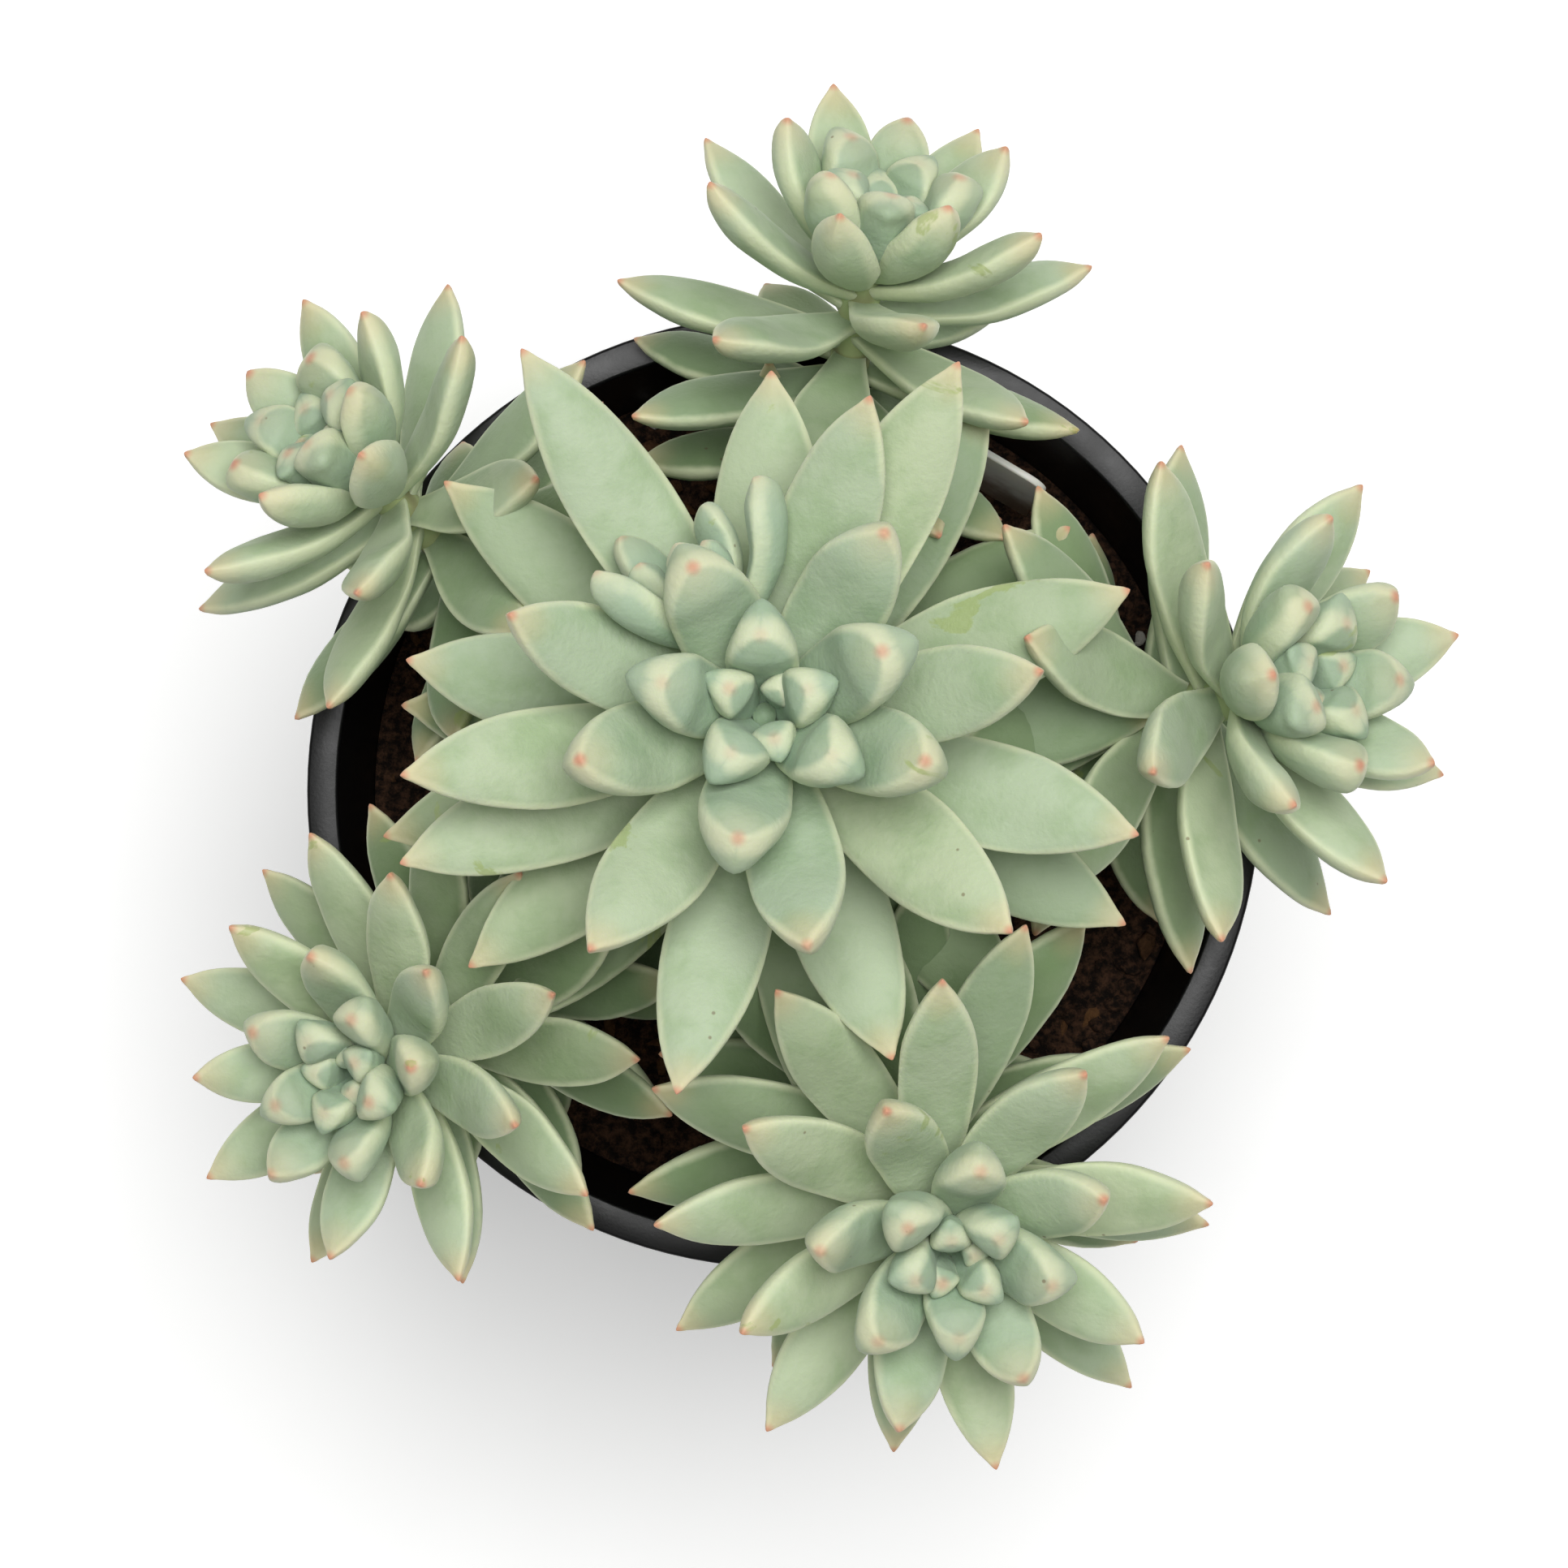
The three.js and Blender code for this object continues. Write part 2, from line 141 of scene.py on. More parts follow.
def makeWaxyLeaf():
    # Living succulent leaf under a powdery wax bloom: soft, almost matt, pale at the edges,
    # with the wax thinner in patches and wiped off here and there.
    material, tree = newMaterial("waxyBloomLeaf")
    # These hold mm from the edge, mm from the tip and side, then growth, chance and age; age also brings
    # the painted shade of low leaves
    place = addNode(tree, "Attribute", {"attribute_name": "leafPlace"})
    placed = addNode(tree, "SeparateXYZ", None, {0: place.outputs["Vector"]})
    traits = addNode(tree, "Attribute", {"attribute_name": "leafTraits"})
    trait = addNode(tree, "SeparateXYZ", None, {0: traits.outputs["Vector"]})
    where = addNode(tree, "TexCoord").outputs["Object"]

    patches = addNode(tree, "TexNoise", None, {
        "Vector": where, "Scale": perMetre(leafLook["patchSize"]), "Detail": 4, "Roughness": 0.6})
    thinWax = addNode(tree, "MapRange", {"interpolation_type": "SMOOTHSTEP"}, {
        "Value": patches.outputs["Fac"], "From Min": 0.4, "From Max": 0.72,
        "To Min": 0, "To Max": 0.55})
    yellower = addNode(tree, "Math", {"operation": "MULTIPLY"}, {
        0: trait.outputs["Y"], 1: 0.5})
    openBloom = addNode(tree, "MixRGB", None, {
        "Fac": yellower.outputs[0],
        "Color1": linearColour(leafLook["bloomGrown"]),
        "Color2": linearColour(leafLook["bloomYellow"])})
    bloom = addNode(tree, "MixRGB", None, {
        "Fac": trait.outputs["X"],
        "Color1": linearColour(leafLook["bloomYoung"]), "Color2": openBloom.outputs["Color"]})
    tissue = addNode(tree, "MixRGB", None, {
        "Fac": trait.outputs["X"],
        "Color1": linearColour(leafLook["tissueYoung"]),
        "Color2": linearColour(leafLook["tissueGrown"])})
    waxed = addNode(tree, "MixRGB", None, {
        "Fac": thinWax.outputs["Result"],
        "Color1": bloom.outputs["Color"], "Color2": tissue.outputs["Color"]})

    # Old leaves low on the stem have lost most of their wax, and are darkened further as painted shade,
    # since they sit in shadow under the rosettes
    agedAndShaded = addNode(tree, "MixRGB", None, {
        "Fac": trait.outputs["Z"],
        "Color1": waxed.outputs["Color"], "Color2": linearColour(leafLook["tissueOldShaded"])})

    # Creamy margins with a ragged inner line, paler than their own colour as a painted highlight
    ragged = addNode(tree, "Math", {"operation": "MULTIPLY_ADD"}, {
        0: patches.outputs["Fac"], 1: -leafLook["edgeRagged"], 2: placed.outputs["X"]})
    edge = addNode(tree, "MapRange", {"interpolation_type": "SMOOTHSTEP"}, {
        "Value": ragged.outputs[0], "From Min": -leafLook["edgeWidth"], "From Max": 0,
        "To Min": 0.6, "To Max": 0})
    edgedWithHighlight = addNode(tree, "MixRGB", None, {
        "Fac": edge.outputs[0],
        "Color1": agedAndShaded.outputs["Color"], "Color2": linearColour(leafLook["marginWithHighlight"])})

    # Peach flush, stronger on grown leaves, then the red point
    raggedTip = addNode(tree, "Math", {"operation": "MULTIPLY_ADD"}, {
        0: patches.outputs["Fac"], 1: -leafLook["blushRagged"], 2: placed.outputs["Y"]})
    flush = addNode(tree, "MapRange", {"interpolation_type": "SMOOTHSTEP"}, {
        "Value": raggedTip.outputs[0], "From Min": -leafLook["blushSink"],
        "From Max": leafLook["blushLength"] - leafLook["blushSink"],
        "To Min": 0.6, "To Max": 0})
    flushGrowth = addNode(tree, "MapRange", None, {
        "Value": trait.outputs["X"], "From Min": 0, "From Max": 1, "To Min": 0.12, "To Max": 0.9})
    flushShare = addNode(tree, "Math", {"operation": "MULTIPLY"}, {
        0: flush.outputs[0], 1: flushGrowth.outputs[0]})
    flushed = addNode(tree, "MixRGB", None, {
        "Fac": flushShare.outputs[0],
        "Color1": edgedWithHighlight.outputs["Color"], "Color2": linearColour(leafLook["blush"])})
    point = addNode(tree, "MapRange", {"interpolation_type": "SMOOTHSTEP"}, {
        "Value": placed.outputs["Y"], "From Min": 0.1, "From Max": leafLook["pointLength"],
        "To Min": 0.7, "To Max": 0})
    redder = addNode(tree, "Math", {"operation": "MULTIPLY_ADD", "use_clamp": True}, {
        0: trait.outputs["Y"], 1: 0.6, 2: trait.outputs["X"]})
    pointShare = addNode(tree, "Math", {"operation": "MULTIPLY"}, {
        0: point.outputs[0], 1: redder.outputs[0]})
    pointed = addNode(tree, "MixRGB", None, {
        "Fac": pointShare.outputs[0],
        "Color1": flushed.outputs["Color"], "Color2": linearColour(leafLook["tip"])})

    # Olive smears where the wax is gone, on some leaves only
    rub = addNode(tree, "TexNoise", None, {
        "Vector": where, "Scale": perMetre(leafLook["rubSize"]), "Detail": 6, "Roughness": 0.55,
        "Distortion": 0.6})
    rubbedMost = addNode(tree, "Math", {"operation": "MULTIPLY_ADD"}, {
        0: trait.outputs["Y"], 1: 0.08, 2: rub.outputs["Fac"]})
    rubbed = addNode(tree, "MapRange", {"interpolation_type": "SMOOTHSTEP"}, {
        "Value": rubbedMost.outputs[0], "From Min": 0.725, "From Max": 0.745,
        "To Min": 0, "To Max": 0.6})
    smeared = addNode(tree, "MixRGB", None, {
        "Fac": rubbed.outputs[0],
        "Color1": pointed.outputs["Color"], "Color2": linearColour(leafLook["rubbed"])})

    # Rare brown specks
    dots = addNode(tree, "TexVoronoi", None, {
        "Vector": where, "Scale": perMetre(leafLook["speckSpacing"]), "Randomness": 1})
    speck = addNode(tree, "MapRange", {"interpolation_type": "SMOOTHSTEP"}, {
        "Value": dots.outputs["Distance"], "From Min": 0.02, "From Max": 0.045,
        "To Min": 0.6, "To Max": 0})
    specked = addNode(tree, "MixRGB", None, {
        "Fac": speck.outputs[0],
        "Color1": smeared.outputs["Color"], "Color2": linearColour(leafLook["speck"])})

    grain = addNode(tree, "TexNoise", None, {
        "Vector": where, "Scale": perMetre(leafLook["grainSize"]), "Detail": 3, "Roughness": 0.6})
    height = addNode(tree, "Math", {"operation": "MULTIPLY_ADD"}, {
        0: patches.outputs["Fac"], 1: 2.5, 2: grain.outputs["Fac"]})
    bump = addNode(tree, "Bump", None, {
        "Height": height.outputs[0], "Strength": 0.35, "Distance": leafLook["bumpHeight"] * mm})
    roughness = addNode(tree, "MapRange", None, {
        "Value": rubbed.outputs[0], "From Min": 0, "From Max": 0.6, "To Min": 0.58, "To Max": 0.38})
    shader = addNode(tree, "BsdfPrincipled", None, {
        "Base Color": specked.outputs["Color"], "Roughness": roughness.outputs[0],
        "Normal": bump.outputs["Normal"], "IOR": 1.45, "Specular IOR Level": 0.35,
        "Subsurface Weight": 0.15, "Subsurface Radius": (1.0, 1.3, 0.5), "Subsurface Scale": 1.2 * mm,
        "Sheen Weight": 0.12, "Sheen Roughness": 0.5, "Sheen Tint": linearColour("#EAF2E4")})
    addNode(tree, "OutputMaterial", None, {"Surface": shader.outputs[0]})
    return material


stemLook = {
    "green": "#9FB07C",
    "bark": "#8A7250",
    "scar": "#5E4A35",
    "barkTop": 95,                       # height where green stem turns to bark
    "ringSize": 2.4,
}


def makeStem():
    # Fleshy stem skin, corky and tan near the soil, with darker rings where leaves have dropped
    material, tree = newMaterial("corkyStemSkin")
    where = addNode(tree, "TexCoord").outputs["Object"]
    height = addNode(tree, "SeparateXYZ", None, {0: where})
    skin = addNode(tree, "TexNoise", None, {"Vector": where, "Scale": perMetre(3), "Detail": 5})
    raised = addNode(tree, "Math", {"operation": "MULTIPLY_ADD"}, {
        0: skin.outputs["Fac"], 1: 24 * mm, 2: height.outputs["Z"]})
    green = addNode(tree, "MapRange", {"interpolation_type": "SMOOTHSTEP"}, {
        "Value": raised.outputs[0], "From Min": stemLook["barkTop"] * mm,
        "From Max": (stemLook["barkTop"] + 30) * mm})
    body = addNode(tree, "MixRGB", None, {
        "Fac": green.outputs[0],
        "Color1": linearColour(stemLook["bark"]), "Color2": linearColour(stemLook["green"])})
    rings = addNode(tree, "TexWave", {"bands_direction": "Z"}, {
        "Vector": where, "Scale": perMetre(stemLook["ringSize"]) / 6.3, "Distortion": 4,
        "Detail": 3, "Detail Scale": 1.5})
    scars = addNode(tree, "MapRange", None, {
        "Value": rings.outputs["Fac"], "From Min": 0, "From Max": 0.25, "To Min": 0.5, "To Max": 0})
    scarred = addNode(tree, "MixRGB", None, {
        "Fac": scars.outputs[0],
        "Color1": body.outputs["Color"], "Color2": linearColour(stemLook["scar"])})
    bump = addNode(tree, "Bump", None, {
        "Height": rings.outputs["Fac"], "Strength": 0.5, "Distance": 0.4 * mm})
    shader = addNode(tree, "BsdfPrincipled", None, {
        "Base Color": scarred.outputs["Color"], "Roughness": 0.68, "Normal": bump.outputs["Normal"]})
    addNode(tree, "OutputMaterial", None, {"Surface": shader.outputs[0]})
    return material


soilLook = {
    "peatDark": "#1C120C",
    "peatLight": "#6B4B36",
    "bark": "#6B4428",
    "barkPale": "#9A6F45",
    "perlite": "#E9E5D8",
    "fibreSize": 1.2,
}


def makeSoil():
    # Damp peat with bark chips and white perlite: dark and rough, the chips a little warmer
    material, tree = newMaterial("dampPeatMix")
    where = addNode(tree, "TexCoord").outputs["Object"]
    kind = addNode(tree, "Attribute", {"attribute_name": "grainKind"})
    kinds = addNode(tree, "SeparateXYZ", None, {0: kind.outputs["Vector"]})
    fibre = addNode(tree, "TexNoise", None, {
        "Vector": where, "Scale": perMetre(soilLook["fibreSize"]), "Detail": 8, "Roughness": 0.7})
    crumbs = addNode(tree, "MapRange", {"interpolation_type": "SMOOTHSTEP"}, {
        "Value": fibre.outputs["Fac"], "From Min": 0.4, "From Max": 0.66})
    peat = addNode(tree, "MixRGB", None, {
        "Fac": crumbs.outputs[0],
        "Color1": linearColour(soilLook["peatDark"]), "Color2": linearColour(soilLook["peatLight"])})
    chip = addNode(tree, "MixRGB", None, {
        "Fac": fibre.outputs["Fac"],
        "Color1": linearColour(soilLook["bark"]), "Color2": linearColour(soilLook["barkPale"])})
    chips = addNode(tree, "MixRGB", None, {
        "Fac": kinds.outputs["X"], "Color1": peat.outputs["Color"], "Color2": chip.outputs["Color"]})
    grains = addNode(tree, "MixRGB", None, {
        "Fac": kinds.outputs["Y"],
        "Color1": chips.outputs["Color"], "Color2": linearColour(soilLook["perlite"])})
    bump = addNode(tree, "Bump", None, {
        "Height": fibre.outputs["Fac"], "Strength": 1, "Distance": 1.8 * mm})
    shader = addNode(tree, "BsdfPrincipled", None, {
        "Base Color": grains.outputs["Color"], "Roughness": 0.9, "Specular IOR Level": 0.25,
        "Normal": bump.outputs["Normal"]})
    addNode(tree, "OutputMaterial", None, {"Surface": shader.outputs[0]})
    return material


potLook = {"black": "#0A0A0B", "dust": "#3B3632", "grainSize": 0.35, "smudgeSize": 14}


def makePot():
    # Injection-moulded black polypropylene: even, semi-gloss, faintly dusty from potting
    material, tree = newMaterial("mouldedPolypropyleneBlack")
    where = addNode(tree, "TexCoord").outputs["Object"]
    smudge = addNode(tree, "TexNoise", None, {
        "Vector": where, "Scale": perMetre(potLook["smudgeSize"]), "Detail": 6, "Roughness": 0.65})
    dusty = addNode(tree, "MapRange", {"interpolation_type": "SMOOTHSTEP"}, {
        "Value": smudge.outputs["Fac"], "From Min": 0.55, "From Max": 0.8,
        "To Min": 0, "To Max": 0.16})
    colour = addNode(tree, "MixRGB", None, {
        "Fac": dusty.outputs[0],
        "Color1": linearColour(potLook["black"]), "Color2": linearColour(potLook["dust"])})
    roughness = addNode(tree, "MapRange", None, {
        "Value": smudge.outputs["Fac"], "From Min": 0.3, "From Max": 0.8,
        "To Min": 0.26, "To Max": 0.5})
    grain = addNode(tree, "TexNoise", None, {
        "Vector": where, "Scale": perMetre(potLook["grainSize"]), "Detail": 2})
    bump = addNode(tree, "Bump", None, {
        "Height": grain.outputs["Fac"], "Strength": 0.12, "Distance": 0.1 * mm})
    shader = addNode(tree, "BsdfPrincipled", None, {
        "Base Color": colour.outputs["Color"], "Roughness": roughness.outputs[0], "IOR": 1.49,
        "Specular IOR Level": 0.3, "Normal": bump.outputs["Normal"]})
    addNode(tree, "OutputMaterial", None, {"Surface": shader.outputs[0]})
    return material


labelLook = {"white": "#EDEBE4", "grime": "#7A5A3C", "grimeSize": 6}


def makeLabel():
    # White polystyrene sheet, smooth and slightly glossy, grimy where it leaves the soil
    material, tree = newMaterial("polystyreneSheetWhite")
    where = addNode(tree, "TexCoord").outputs["Object"]
    height = addNode(tree, "SeparateXYZ", None, {0: where})
    stain = addNode(tree, "TexNoise", None, {
        "Vector": where, "Scale": perMetre(labelLook["grimeSize"]), "Detail": 6, "Roughness": 0.6})
    low = addNode(tree, "Math", {"operation": "MULTIPLY_ADD"}, {
        0: stain.outputs["Fac"], 1: -22 * mm, 2: height.outputs["Z"]})
    grime = addNode(tree, "MapRange", {"interpolation_type": "SMOOTHSTEP"}, {
        "Value": low.outputs[0], "From Min": 60 * mm, "From Max": 72 * mm,
        "To Min": 0.85, "To Max": 0})
    colour = addNode(tree, "MixRGB", None, {
        "Fac": grime.outputs[0],
        "Color1": linearColour(labelLook["white"]), "Color2": linearColour(labelLook["grime"])})
    shader = addNode(tree, "BsdfPrincipled", None, {
        "Base Color": colour.outputs["Color"], "Roughness": 0.4, "IOR": 1.59,
        "Subsurface Weight": 0.1, "Subsurface Scale": 1 * mm})
    addNode(tree, "OutputMaterial", None, {"Surface": shader.outputs[0]})
    return material


paperLook = {"white": "#F8F8F7", "glow": 0.3, "toothSize": 1.5}


def makeBackdrop():
    # Seamless white studio paper: flat and matt, lit a little from behind
    material, tree = newMaterial("studioPaperWhite")
    where = addNode(tree, "TexCoord").outputs["Object"]
    tooth = addNode(tree, "TexNoise", None, {
        "Vector": where, "Scale": perMetre(paperLook["toothSize"]), "Detail": 2})
    bump = addNode(tree, "Bump", None, {
        "Height": tooth.outputs["Fac"], "Strength": 0.05, "Distance": 0.1 * mm})
    shader = addNode(tree, "BsdfPrincipled", None, {
        "Base Color": linearColour(paperLook["white"]), "Roughness": 0.9,
        "Normal": bump.outputs["Normal"], "Emission Color": linearColour("#FFFFFF"),
        "Emission Strength": paperLook["glow"]})
    addNode(tree, "OutputMaterial", None, {"Surface": shader.outputs[0]})
    return material


waxyLeaf = makeWaxyLeaf()
stemSkin = makeStem()
peatMix = makeSoil()
potPlastic = makePot()
labelPlastic = makeLabel()
print("materials made")


pot = {
    "height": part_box("pot")[1][2] / mm,
    "rimRadius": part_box("pot")[1][0] / mm,
    "baseRadius": 38.5,
    "wall": 1.3,
    "floor": 1.8,
    "lipWidth": 3.4,
    "lipThickness": 2.4,
    "bandHeight": 15,
    "bandStep": 0.9,
    "hubRadius": 16,
    "footWidth": 3,
    "recess": 1.4,
    "draft": 1,
    "drainHoles": 8,
    "drainRadius": 3.5,
    "softEdge": 0.35,
    "steps": 128,
    "sharpEdge": 0.5,                    # radians: an edge that bends more is softened
}
mouthRadius = pot["rimRadius"] - pot["lipWidth"]
floorTop = pot["recess"] + pot["floor"]
gap = 0.3                # between the pot and the soil


def innerRadius(height):
    narrow = pot["baseRadius"] - pot["wall"]
    return blendValue(narrow, mouthRadius, height / pot["height"])


def wallRadius(height):
    return innerRadius(height) + pot["wall"]


def spinProfile(mesh, points, steps):
    verts = [mesh.verts.new((radius * mm, 0, height * mm)) for radius, height in points]
    edges = [mesh.edges.new(pair) for pair in zip(verts, verts[1:])]
    bmesh.ops.spin(mesh, geom=verts + edges, cent=(0, 0, 0), axis=(0, 0, 1), angle=2 * math.pi,
                   steps=steps, use_merge=True)
    bmesh.ops.remove_doubles(mesh, verts=mesh.verts, dist=0.001 * mm)


def buildPot():
    mesh = bmesh.new()
    bandLow = pot["height"] - pot["bandHeight"]
    footInner = pot["baseRadius"] - pot["footWidth"]
    lipLow = pot["height"] - pot["lipThickness"]
    spinProfile(mesh, [
        (0, 0),
        (pot["hubRadius"], 0),
        (pot["hubRadius"] + pot["draft"], pot["recess"]),
        (footInner - pot["draft"], pot["recess"]),
        (footInner, 0),
        (pot["baseRadius"] - pot["draft"], 0),
        (wallRadius(pot["draft"]), pot["draft"]),
        (wallRadius(bandLow), bandLow),
        (wallRadius(bandLow) + pot["bandStep"], bandLow + pot["bandStep"]),
        (wallRadius(lipLow) + pot["bandStep"], lipLow),
        (pot["rimRadius"], lipLow),
        (pot["rimRadius"], pot["height"]),
        (mouthRadius, pot["height"]),
        (innerRadius(floorTop), floorTop),
        (0, floorTop),
    ], pot["steps"])
    sharp = [e for e in mesh.edges
             if len(e.link_faces) == 2 and e.calc_face_angle(0) > pot["sharpEdge"]]
    bmesh.ops.bevel(mesh, geom=sharp, offset=pot["softEdge"] * mm, segments=3, profile=0.5,
                    affect="EDGES", offset_type="OFFSET", material=-1)
    piece = finishPiece("potShell", mesh, [potPlastic], "pot")
    cutDrainHoles(piece, (pot["hubRadius"] + footInner) / 2)
    return piece


def cutDrainHoles(piece, radius):
    cutter = bmesh.new()
    for hole in range(pot["drainHoles"]):
        angle = 2 * math.pi * (hole + 0.5) / pot["drainHoles"]
        place = Matrix.Translation((radius * mm * math.cos(angle), radius * mm * math.sin(angle), 0))
        bmesh.ops.create_cone(cutter, cap_ends=True, segments=32, radius1=pot["drainRadius"] * mm,
                              radius2=pot["drainRadius"] * mm, depth=4 * floorTop * mm, matrix=place)
    data = bpy.data.meshes.new("drainCutter")
    cutter.to_mesh(data)
    cutter.free()
    tool = bpy.data.objects.new("drainCutter", data)
    scene.collection.objects.link(tool)
    drill = piece.modifiers.new("drainHoles", "BOOLEAN")
    drill.object = tool
    drill.operation = "DIFFERENCE"
    drill.solver = "EXACT"
    evaluated = piece.evaluated_get(bpy.context.evaluated_depsgraph_get())
    drilled = bpy.data.meshes.new_from_object(evaluated)
    piece.modifiers.clear()
    piece.data = drilled
    bpy.data.objects.remove(tool)


buildPot()
print("pot built")


soil = {
    "top": pot["height"] - 17,
    "dome": 2.5,
    "edgeDrop": 1.5,
    "shoulder": 30,
    "rings": 34,
    "steps": 130,
    "lumps": 1.1,                        # how far the surface rises and falls
    "peatCrumbs": 620,
    "barkChips": 170,
    "perliteBeads": 70,
    "seed": 11,
    "edgeRoom": 1.5,                     # grains stay this far from the wall
}


def soilHeight(radius):
    edge = innerRadius(soil["top"]) - gap
    slope = max(0, (radius - soil["shoulder"]) / (edge - soil["shoulder"]))
    rise = soil["dome"] * max(0, 1 - (radius / soil["shoulder"]) ** 2)
    return soil["top"] + rise - soil["edgeDrop"] * slope


def soilLump(x, y):
    return soil["lumps"] * noise.fractal(Vector((x * 0.16, y * 0.16, 3.7)), 0.9, 2.1, 4)


def grainTemplate(level):
    mesh = bmesh.new()
    mesh.verts.layers.float_vector.new("grainKind")
    bmesh.ops.create_icosphere(mesh, subdivisions=level, radius=0.5)
    data = bpy.data.meshes.new("grainTemplate")
    mesh.to_mesh(data)
    mesh.free()
    return data


def addGrain(mesh, template, chance, kind, size, shape):
    radius = (innerRadius(soil["top"]) - soil["edgeRoom"]) * math.sqrt(chance.random())
    angle = chance.uniform(0, 2 * math.pi)
    x, y = radius * math.cos(angle), radius * math.sin(angle)
    height = soilHeight(radius) + soilLump(x, y) + size * chance.uniform(-0.15, 0.25)
    turn = Matrix.Rotation(chance.uniform(0, 6.3), 4, "Z")
    tilt = Matrix.Rotation(chance.uniform(-0.6, 0.6), 4, "X")
    scale = Matrix.Diagonal([size * s * chance.uniform(0.75, 1.25) * mm for s in shape] + [1])
    place = Matrix.Translation((x * mm, y * mm, height * mm)) @ (turn @ tilt) @ scale
    grain = bmesh.new()
    grain.from_mesh(template)
    kindLayer = grain.verts.layers.float_vector["grainKind"]
    for vert in grain.verts:
        vert.co = place @ vert.co
        vert.co += noise.noise_vector(vert.co / mm * 1.3) * size * 0.16 * mm
        vert[kindLayer] = kind
    joinCopy(mesh, grain)


def buildSoil():
    mesh = bmesh.new()
    mesh.verts.layers.float_vector.new("grainKind")
    bottom = floorTop + gap
    edge = innerRadius(soil["top"]) - gap
    rim = [(0, bottom), (innerRadius(bottom) - gap, bottom), (edge, soilHeight(edge))]
    for ring in range(soil["rings"] - 1, -1, -1):
        radius = edge * ring / soil["rings"]
        rim.append((radius, soilHeight(radius)))
    spinProfile(mesh, rim, soil["steps"])
    for vert in mesh.verts:
        radius = math.hypot(vert.co.x, vert.co.y) / mm
        onTop = vert.co.z > (soil["top"] - soil["edgeDrop"] - 0.5) * mm
        if onTop:
            vert.co.z += soilLump(vert.co.x / mm, vert.co.y / mm) * mm * min(1, (edge - radius) / 2)
    chance = random.Random(soil["seed"])
    crumb, bead = grainTemplate(1), grainTemplate(2)
    for _ in range(soil["peatCrumbs"]):
        addGrain(mesh, crumb, chance, (0, 0, 0), chance.uniform(0.9, 2.6), (1, 0.8, 0.6))
    for _ in range(soil["barkChips"]):
        tone = (chance.uniform(0.4, 1), 0, 0)
        addGrain(mesh, crumb, chance, tone, chance.uniform(2, 5.5), (1, 0.45, 0.3))
    for _ in range(soil["perliteBeads"]):
        addGrain(mesh, bead, chance, (0, 1, 0), chance.uniform(0.9, 2.3), (1, 0.9, 0.8))
    return finishPiece("pottingMix", mesh, [peatMix], "soil")


buildSoil()
print("soil built")


label = {
    "length": 60,
    "width": 16,
    "thickness": 0.8,
    "aboveSoil": 19,
    "pointLength": 12,
    "cornerRadius": 2.5,
    "inset": 5.5,
    "azimuth": 59.5,
    "slant": 6,
    "softEdge": 0.2,
}


def buildLabel():
    mesh = bmesh.new()
    half = label["width"] / 2
    top = label["aboveSoil"]
    bottom = top - label["length"]
    outline = [(0, bottom), (half, bottom + label["pointLength"]), (half, top), (-half, top),
               (-half, bottom + label["pointLength"])]
    back = -label["thickness"] / 2 * mm
    front = mesh.faces.new([mesh.verts.new((x * mm, y * mm, back)) for x, y in outline])
    corners = [v for v in front.verts if v.co.y > (top - 1) * mm]
    bmesh.ops.bevel(mesh, geom=corners, offset=label["cornerRadius"] * mm, segments=6, profile=0.5,
                    affect="VERTICES", material=-1)
    made = bmesh.ops.extrude_face_region(mesh, geom=list(mesh.faces))
    lifted = [v for v in made["geom"] if isinstance(v, bmesh.types.BMVert)]
    bmesh.ops.translate(mesh, verts=lifted, vec=(0, 0, label["thickness"] * mm))
    bmesh.ops.recalc_face_normals(mesh, faces=mesh.faces)
    sharp = [e for e in mesh.edges if e.calc_face_angle(0) > 1.2]
    bmesh.ops.bevel(mesh, geom=sharp, offset=label["softEdge"] * mm, segments=2, profile=0.5,
                    affect="EDGES", material=-1)
    azimuth = math.radians(label["azimuth"])
    radius = (innerRadius(soil["top"]) - label["inset"]) * mm
    place = Matrix.Translation(
        (radius * math.cos(azimuth), radius * math.sin(azimuth), soil["top"] * mm))
    turn = Matrix.Rotation(azimuth - math.pi / 2, 4, "Z")
    stand = Matrix.Rotation(math.pi / 2 - math.radians(label["slant"]), 4, "X")
    bmesh.ops.transform(mesh, matrix=place @ turn @ stand, verts=mesh.verts)
    return finishPiece("blankLabel", mesh, [labelPlastic], "plant_label")


buildLabel()
print("label built")


leaf = {
    "length": 40,
    "width": 11,
    "thickness": 6,
    "upperShare": 0.3,                   # how much of the thickness is above the edges
    "lowerShare": 0.7,
    "upperFullness": 1.15,
    "lowerFullness": 0.72,
    "trough": 0.1,
    "droop": 0.06,
    "baseShare": 0.42,
    "widestAt": 0.56,
    "baseFullness": 1.3,
    "tipFullness": 2.1,
    "tipRounding": 0.8,
    "girthPower": 0.8,
    "around": 28,
    "rings": 30,
    "shortest": 9,
    "hiddenAround": 16,                  # old leaves low on the stem are drawn more coarsely
    "hiddenRings": 18,
    "hiddenFrom": 36,
}

# The same sizes on a newly grown leaf, which is thick and blunt
youngLeaf = {
    "upperShare": 0.27,
    "lowerShare": 0.82,
    "upperFullness": 0.85,
    "lowerFullness": 0.6,
    "trough": 0.02,
    "droop": 0.22,
    "baseShare": 0.6,
    "tipFullness": 3.4,
    "tipRounding": 0.44,
}

stem = {
    "diameter": 7,
    "apexDiameter": 2.4,
    "apexTaper": 6,
    "buried": 12,
    "leafFoot": 1.6,
    "divergence": 137.5,
    "straightness": 0.35,
    "opensFrom": 14,
    "openBy": 34,
    "segments": 20,
    "rings": 60,
}

